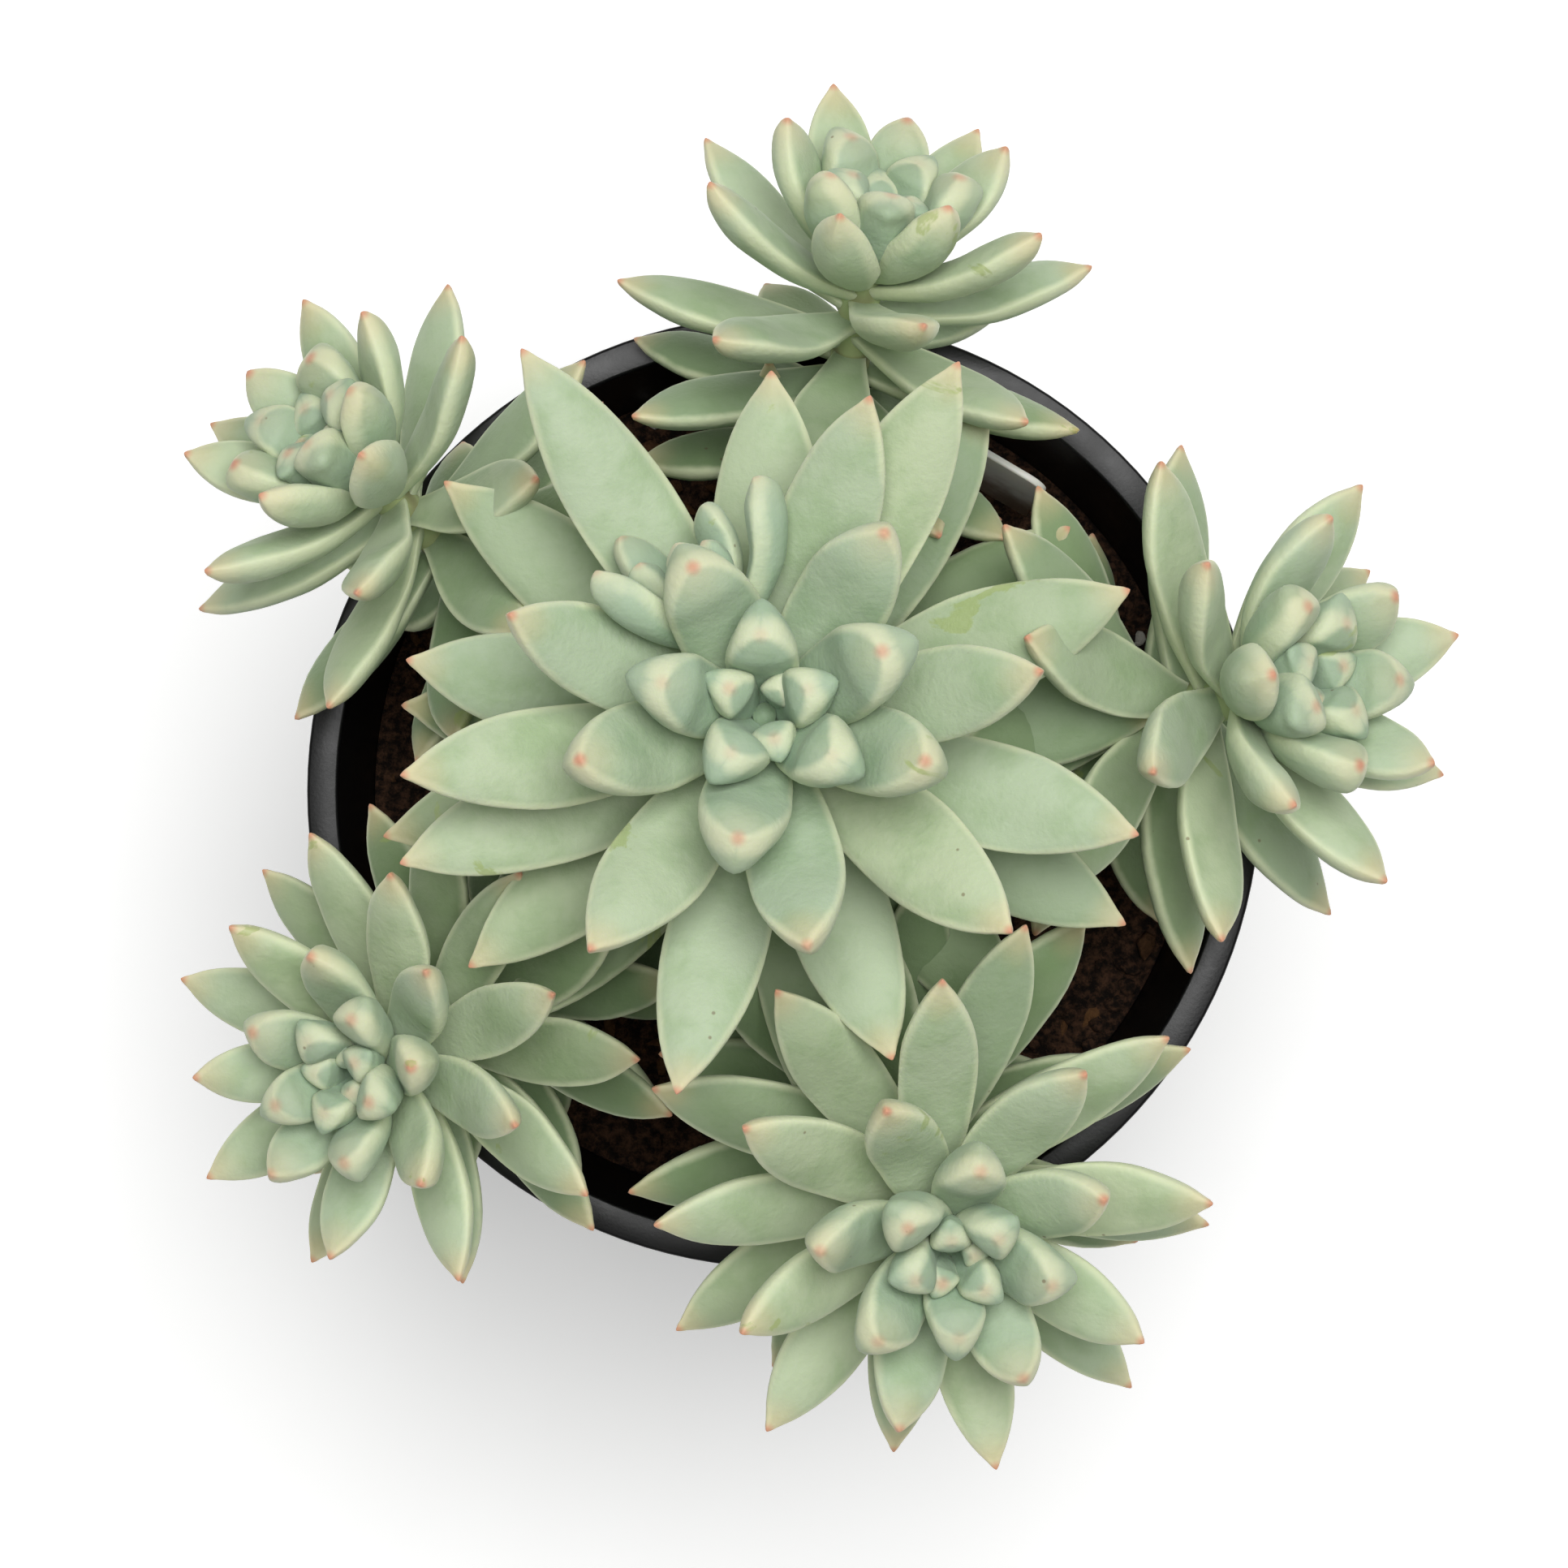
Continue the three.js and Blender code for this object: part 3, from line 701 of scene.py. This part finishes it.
# Each row: age, length, width and thickness as shares of a full leaf's, spread and inward curl
# in degrees, distance below the apex
growth = [
    (0, 0.14, 0.34, 0.48, 4, 10, 0.2),
    (4, 0.26, 0.6, 0.85, 16, 30, 1),
    (8, 0.42, 0.8, 1.03, 33, 45, 2.6),
    (12, 0.56, 0.86, 1.03, 48, 40, 4.6),
    (16, 0.74, 0.91, 1, 60, 30, 7.2),
    (20, 0.87, 0.95, 0.97, 69, 22, 10.2),
    (24, 0.95, 0.98, 0.93, 77, 16, 13.6),
    (30, 0.99, 1, 0.9, 86, 8, 19.5),
    (40, 0.98, 1, 0.87, 95, 0, 31),
    (52, 0.75, 0.85, 0.8, 102, 0, 49),
    (68, 0.55, 0.75, 0.7, 104, 0, 70),
]

# For each shoot: foot and apex across the pot, rise above the soil, the apex's lean and its
# direction, the first leaf's turn, the spiral's hand, how far young leaves open, how fast they
# age and how broad they are. A nudge turns one leaf, in degrees, and stretches it.
shoots = [
    {
        "name": "main", "size": 1, "leaves": 42, "extra": 16, "crown": 12, "loose": 31,
        "foot": (0, 3), "apex": (-1.9, 7.7), "rise": 69, "lean": 5, "toward": 100, "turn": 52,
        "hand": -1, "open": 1, "pace": 1, "broad": 1,
        "nudge": {
            1: (17, 1), 2: (13, 1), 3: (19, 1), 4: (11, 1), 5: (6, 1), 6: (15, 1), 8: (-10, 1.1),
            9: (4, 1),
            12: (-6, 1), 13: (-8, 1), 14: (-5, 1.05), 15: (12, 1.05), 16: (-6, 1), 18: (-24, 1.06),
            20: (8, 1.06), 21: (16, 1.13), 22: (-9, 1.05), 23: (-6, 1.18), 24: (-10, 1), 25: (-12, 1),
            26: (14, 0.9), 27: (-9, 0.89), 28: (6, 0.92), 29: (-2, 0.96), 30: (-29, 0.94), 31: (32, 1.03),
        },
    },
    {
        "name": "bottom", "size": 0.74, "leaves": 34, "extra": 20, "crown": 13, "loose": 18,
        "foot": (6, -16), "apex": (16.9, -46.3), "rise": 59, "lean": 18, "toward": 288, "turn": 14,
        "hand": -1, "open": 1, "pace": 1.05, "broad": 1, "nudge": {},
    },
    {
        "name": "lower_left", "size": 0.63, "leaves": 32, "extra": 22, "crown": 13, "loose": 18,
        "foot": (-15, -10), "apex": (-44.2, -29.1), "rise": 49, "lean": 24, "toward": 188, "turn": 86,
        "hand": -1, "open": 0.92, "pace": 1.05, "broad": 1, "nudge": {},
    },
    {
        "name": "right", "size": 0.68, "leaves": 25, "extra": 18, "crown": 10, "loose": 15,
        "foot": (18, 4), "apex": (52.7, 11.2), "rise": 47, "lean": 42, "toward": 12, "turn": 116,
        "hand": 1, "open": 0.75, "pace": 1.25, "broad": 1.1, "nudge": {},
    },
    {
        "name": "top", "size": 0.62, "leaves": 25, "extra": 18, "crown": 10, "loose": 15,
        "foot": (3, 16), "apex": (9.7, 59), "rise": 41, "lean": 54, "toward": 76, "turn": 13,
        "hand": -1, "open": 0.66, "pace": 1.25, "broad": 1.1, "nudge": {},
    },
    {
        "name": "left", "size": 0.6, "leaves": 25, "extra": 18, "crown": 10, "loose": 15,
        "foot": (-16, 8), "apex": (-47, 35.6), "rise": 39, "lean": 50, "toward": 140, "turn": 50,
        "hand": 1, "open": 0.66, "pace": 1.25, "broad": 1.1, "nudge": {},
    },
]

offset = {
    "name": "offset", "size": 0.85, "leaves": 10, "crown": 10, "loose": 10, "below": 9,
    "apex": (-7, 19), "rise": 66, "lean": 65, "toward": 126, "turn": 20, "hand": -1, "open": 1,
    "pace": 1, "broad": 0.72, "nudge": {},
}


def grown(age, column):
    upper = next((i for i, row in enumerate(growth) if row[0] >= age and i > 0), len(growth) - 1)
    younger, older = growth[upper - 1], growth[upper]
    return blendValue(younger[column], older[column], (age - younger[0]) / (older[0] - younger[0]))


def stemPath(shoot, foot):
    lean, toward = math.radians(shoot["lean"]), math.radians(shoot["toward"])
    axis = Vector((
        math.sin(lean) * math.cos(toward), math.sin(lean) * math.sin(toward), math.cos(lean)))
    apex = Vector((*shoot["apex"], soil["top"] + shoot["rise"]))
    reach = (apex - foot).length * stem["straightness"]
    points = interpolate_bezier(foot, foot + Vector((0, 0, reach)), apex - axis * reach, apex, 401)
    lengths = [0]
    for first, second in zip(points, points[1:]):
        lengths.append(lengths[-1] + (second - first).length)
    return {"points": points, "lengths": lengths}


def stemFrame(path, distance):           # the place and directions at a distance below the apex
    total = path["lengths"][-1]
    reach = min(total, max(0, total - distance))
    index = max(1, bisect.bisect_left(path["lengths"], reach))
    low, high = path["lengths"][index - 1], path["lengths"][index]
    first, second = path["points"][index - 1], path["points"][index]
    along = (second - first).normalized()
    point = first.lerp(second, (reach - low) / (high - low)) + along * (total - distance - reach)
    east = Vector((1, 0, 0))
    east = (east - along * east.dot(along)).normalized()
    return point, along, east, along.cross(east)


def addStalk(mesh, layers, shoot, top, bottom):
    made = bmesh.ops.create_grid(mesh, x_segments=stem["segments"], y_segments=stem["rings"], size=1)
    for vert in made["verts"]:           # the grid is wrapped round the stem
        angle = math.pi * vert.co.x
        distance = blendValue(bottom, top, (vert.co.y + 1) / 2)
        point, along, east, north = stemFrame(shoot["path"], distance)
        full = smoothStep(0, stem["apexTaper"], distance)
        radius = blendValue(stem["apexDiameter"], stem["diameter"], full) / 2 * shoot["size"]
        knot = noise.noise(Vector((math.cos(angle) * 1.5, math.sin(angle) * 1.5, distance * 0.7)))
        radius *= 1 + 0.12 * knot
        vert.co = (point + (east * math.cos(angle) + north * math.sin(angle)) * radius) * mm
        vert[layers["place"]] = (5, 30, 0)    # as far from a leaf's edge and tip
        # the last trait tints the stalk part way to old leaf colour: lost wax and painted shade
        vert[layers["traits"]] = (0.2, 0.3, 0.3)
    bmesh.ops.remove_doubles(mesh, verts=mesh.verts, dist=0.001 * mm)
    bmesh.ops.holes_fill(mesh, edges=[e for e in mesh.edges if e.is_boundary], sides=0)


def leafPlan(shoot, number):
    age = number * shoot["pace"]
    distance = grown(age, 6) * shoot["size"]
    point, along, east, north = stemFrame(shoot["path"], distance)
    extraTurn, stretch = shoot["nudge"].get(number, (0, 1))
    turn = math.radians(shoot["turn"] + shoot["hand"] * stem["divergence"] * number + extraTurn)
    outward = east * math.cos(turn) + north * math.sin(turn)
    girth = shoot["broad"] * shoot["size"] ** leaf["girthPower"]
    opened = smoothStep(stem["opensFrom"], stem["openBy"], age)
    return {
        "base": point + outward * stem["leafFoot"] * shoot["size"],
        "along": along,
        "outward": outward,
        "across": along.cross(outward),
        "length": leaf["length"] * shoot["size"] * grown(age, 1) * stretch,
        "width": leaf["width"] * girth * grown(age, 2),
        "thickness": leaf["thickness"] * girth * grown(age, 3),
        "spread": math.radians(grown(age, 4) * blendValue(shoot["open"], 1, opened)),
        "curl": math.radians(max(0.5, grown(age, 5))),
        "age": age,
        "youth": (1 - smoothStep(6, 17, age)) * shoot["broad"] ** 2,
    }


def shaped(key, youth):                  # a leaf size, between a grown and a young leaf's
    return blendValue(leaf[key], youngLeaf[key], youth)


def leafOutline(share, youth):           # half-width along the leaf, blunter on a young one
    if share < leaf["widestAt"]:
        swell = math.sin(math.pi / 2 * share / leaf["widestAt"]) ** leaf["baseFullness"]
        return blendValue(shaped("baseShare", youth), 1, swell)
    towardTip = (share - leaf["widestAt"]) / (1 - leaf["widestAt"])
    return max(0, 1 - towardTip ** shaped("tipFullness", youth)) ** shaped("tipRounding", youth)


def leafTemplate(around, rings):         # a ball, with each point's side, share of length and up
    mesh, layers = startShootMesh()
    bmesh.ops.create_uvsphere(mesh, u_segments=around, v_segments=rings, radius=1)
    for vert in mesh.verts:
        breadth = math.hypot(vert.co.x, vert.co.y)
        if breadth > 1e-5:
            vert[layers["place"]] = (vert.co.x / breadth, (1 - vert.co.z) / 2, -vert.co.y / breadth)
        else:
            vert[layers["place"]] = (0, (1 - vert.co.z) / 2, 0)
    data = bpy.data.meshes.new("leafTemplate")
    mesh.to_mesh(data)
    mesh.free()
    return data


def leafPoint(plan, side, share, up):
    youth = plan["youth"]
    full = leafOutline(share, youth) if side or up else 0
    width = plan["width"]
    start = plan["spread"] + plan["curl"] / 2
    angle = start - plan["curl"] * share
    outward = plan["length"] * (math.cos(angle) - math.cos(start)) / plan["curl"]
    along = plan["length"] * (math.sin(start) - math.sin(angle)) / plan["curl"]
    if up > 0:
        rise = shaped("upperShare", youth)
        lift = plan["thickness"] * rise * up ** shaped("upperFullness", youth) * full ** 0.8
        lift -= shaped("trough", youth) * width * up * full * (1 - smoothStep(0.35, 0.85, share))
        lip = smoothStep(0.78, 0.93, share) * (1 - smoothStep(0.95, 0.995, share))
        lift += youth * 0.06 * plan["thickness"] * lip * up
    else:
        keel = 1 + 0.15 * smoothStep(0.5, 0.95, share) * (1 - abs(side))
        depth = plan["thickness"] * shaped("lowerShare", youth)
        lift = -depth * (-up) ** 1.1 * full ** shaped("lowerFullness", youth) * keel
    lift -= shaped("droop", youth) * plan["thickness"] * smoothStep(0.8, 1, share)
    seed = plan["seed"] * 50
    lift += noise.noise(Vector((share * 3.1, side * 0.9 + up * 0.6, seed))) * 0.05 * width * full
    reach = side * width / 2 * full
    reach += noise.noise(Vector((share * 4.3, side * 0.5, seed + 9))) * 0.03 * width * full
    turned = plan["twist"] * share
    lateral = reach * math.cos(turned) - lift * math.sin(turned) + plan["sweep"] * share * share
    lift = reach * math.sin(turned) + lift * math.cos(turned)
    beak = smoothStep(0.965, 1, share) * 0.016 * plan["length"] * (1 - 0.95 * youth)
    outward += math.sin(angle) * beak - math.cos(angle) * lift
    along += math.cos(angle) * beak + math.sin(angle) * lift
    return plan["base"] + plan["outward"] * outward + plan["along"] * along + plan["across"] * lateral


def addLeaf(mesh, plan, chance, template):
    plan["seed"] = chance.random()
    plan["sweep"] = chance.uniform(-0.03, 0.03) * plan["length"]
    plan["twist"] = math.radians(chance.uniform(-7, 7))
    plan["width"] *= chance.uniform(0.96, 1.04)
    tip = leafPoint(plan, 0, 1, 0)
    # the last trait, old age, darkens low leaves: partly lost wax, partly painted shade
    traits = (smoothStep(3, 20, plan["age"]), plan["seed"], smoothStep(22, 44, plan["age"]) * 0.75)
    single = bmesh.new()
    single.from_mesh(template)
    layers = shootLayers(single)
    for vert in single.verts:
        side, share, up = vert[layers["place"]]
        point = leafPoint(plan, side, share, up)
        fromEdge = plan["width"] / 2 * leafOutline(share, plan["youth"]) * (1 - abs(side))
        vert.co = point * mm
        vert[layers["place"]] = (fromEdge, (point - tip).length, up)
        vert[layers["traits"]] = traits
    joinCopy(mesh, single)


def shootLayers(mesh):
    return {
        "place": mesh.verts.layers.float_vector["leafPlace"],
        "traits": mesh.verts.layers.float_vector["leafTraits"],
    }


def startShootMesh():
    mesh = bmesh.new()
    mesh.verts.layers.float_vector.new("leafPlace")
    mesh.verts.layers.float_vector.new("leafTraits")
    return mesh, shootLayers(mesh)


def clearOfPot(plan):
    for share in (0.3, 0.65, 1):
        angle = plan["spread"] - plan["curl"] * (share - 0.5) / 2
        point = plan["base"] + plan["length"] * share * (
            plan["outward"] * math.sin(angle) + plan["along"] * math.cos(angle))
        radius = math.hypot(point.x, point.y)
        if point.z < soilHeight(min(radius, mouthRadius)) + plan["thickness"]:
            return False
        if radius > innerRadius(point.z) - 2 and point.z < pot["height"] + plan["thickness"]:
            return False
    return True


def buildShoot(shoot):
    chance = random.Random(shoot["name"])
    title = shoot["name"].title().replace("_", "")
    crownEnd = (grown(shoot["crown"] * shoot["pace"], 6) + 1) * shoot["size"]
    mesh, layers = startShootMesh()
    addStalk(mesh, layers, shoot, 0, crownEnd)
    for number in range(shoot["crown"]):
        addLeaf(mesh, leafPlan(shoot, number), chance, fullLeaf)
    finishPiece("crown" + title, mesh, [waxyLeaf], "crown_" + shoot["name"])
    for number in range(shoot["crown"], shoot["loose"]):
        mesh, layers = startShootMesh()
        addLeaf(mesh, leafPlan(shoot, number), chance, fullLeaf)
        node = f"leaf_{shoot['name']}_{number}"
        finishPiece(f"leaf{title}{number}", mesh, [waxyLeaf], node)
    mesh, layers = startShootMesh()
    addStalk(mesh, layers, shoot, crownEnd, shoot["path"]["lengths"][-1])
    for face in mesh.faces:
        face.material_index = 1
    for number in range(shoot["loose"], shoot["leaves"] + shoot["extra"]):
        plan = leafPlan(shoot, number)
        while not clearOfPot(plan) and plan["length"] > leaf["shortest"]:
            plan["length"] *= 0.85       # a leaf that would meet the pot or the soil grows shorter
        if clearOfPot(plan):
            template = hiddenLeaf if plan["age"] > leaf["hiddenFrom"] else fullLeaf
            addLeaf(mesh, plan, chance, template)
    node = "stem_" + shoot["name"]
    finishPiece("stem" + title, mesh, [waxyLeaf, stemSkin], node)


def buildOffset():
    chance = random.Random(offset["name"])
    mesh, layers = startShootMesh()
    addStalk(mesh, layers, offset, 0, offset["path"]["lengths"][-1])
    for number in range(offset["leaves"]):
        addLeaf(mesh, leafPlan(offset, number), chance, fullLeaf)
    finishPiece("offsetShoot", mesh, [waxyLeaf], "offset")


fullLeaf = leafTemplate(leaf["around"], leaf["rings"])
hiddenLeaf = leafTemplate(leaf["hiddenAround"], leaf["hiddenRings"])
for shoot in shoots:
    shoot["path"] = stemPath(shoot, Vector((*shoot["foot"], soil["top"] - stem["buried"])))
    buildShoot(shoot)
    print("shoot built:", shoot["name"])
offset["path"] = stemPath(offset, stemFrame(shoots[0]["path"], offset["below"])[0])
buildOffset()
print("offset built")


studio = {
    "floorSize": 6,
    "cameraHeight": 638,
    "cameraShiftY": 0.8,
    "frameWidth": 172.5,                 # seen across the pot's rim
    "cameraAboveRim": 550,
    "worldStrength": 0.2,
    "backdropStrength": 0.95,            # as the camera sees the world past the floor
    "lightTarget": (0, 0, 0.09),         # these places and sizes are in metres
    "keyPlace": (0.08, 0.18, 0.92),
    "keySize": 0.6,
    "keyPower": 7.6,
    "fillPlace": (-0.55, -0.45, 0.85),
    "fillSize": 0.8,
    "fillPower": 0.4,
}


def addAreaLight(name, place, size, power):
    data = bpy.data.lights.new(name, "AREA")
    data.shape = "DISK"
    data.size = size
    data.energy = power
    lamp = bpy.data.objects.new(name, data)
    lamp.location = place
    aim = Vector(studio["lightTarget"]) - Vector(place)
    lamp.rotation_euler = aim.to_track_quat("-Z", "Y").to_euler()
    scene.collection.objects.link(lamp)


def buildStudio():
    ground = bmesh.new()
    bmesh.ops.create_grid(ground, x_segments=1, y_segments=1, size=studio["floorSize"] / 2)
    data = bpy.data.meshes.new("paperFloor")
    ground.to_mesh(data)
    ground.free()
    data.materials.append(makeBackdrop())
    paper = bpy.data.objects.new("paperFloor", data)
    scene.collection.objects.link(paper)

    world = bpy.data.worlds.new("studioWorld")
    world.use_nodes = True
    background = world.node_tree.nodes["Background"]
    background.inputs["Color"].default_value = (1, 1, 1, 1)
    seen = addNode(world.node_tree, "LightPath").outputs["Is Camera Ray"]
    strength = addNode(world.node_tree, "MapRange", None, {
        "Value": seen, "To Min": studio["worldStrength"], "To Max": studio["backdropStrength"]})
    world.node_tree.links.new(strength.outputs[0], background.inputs["Strength"])
    scene.world = world
    addAreaLight("keySoftbox", studio["keyPlace"], studio["keySize"], studio["keyPower"])
    addAreaLight("fillSoftbox", studio["fillPlace"], studio["fillSize"], studio["fillPower"])

    data = bpy.data.cameras.new("overheadCamera")
    data.lens_unit = "FOV"
    data.angle = 2 * math.atan(studio["frameWidth"] / 2 / studio["cameraAboveRim"])
    data.clip_start = 0.01
    camera = bpy.data.objects.new("overheadCamera", data)
    camera.location = (0, studio["cameraShiftY"] * mm, studio["cameraHeight"] * mm)
    scene.collection.objects.link(camera)
    scene.camera = camera
    scene.view_settings.view_transform = "Standard"


buildStudio()
print("studio set")
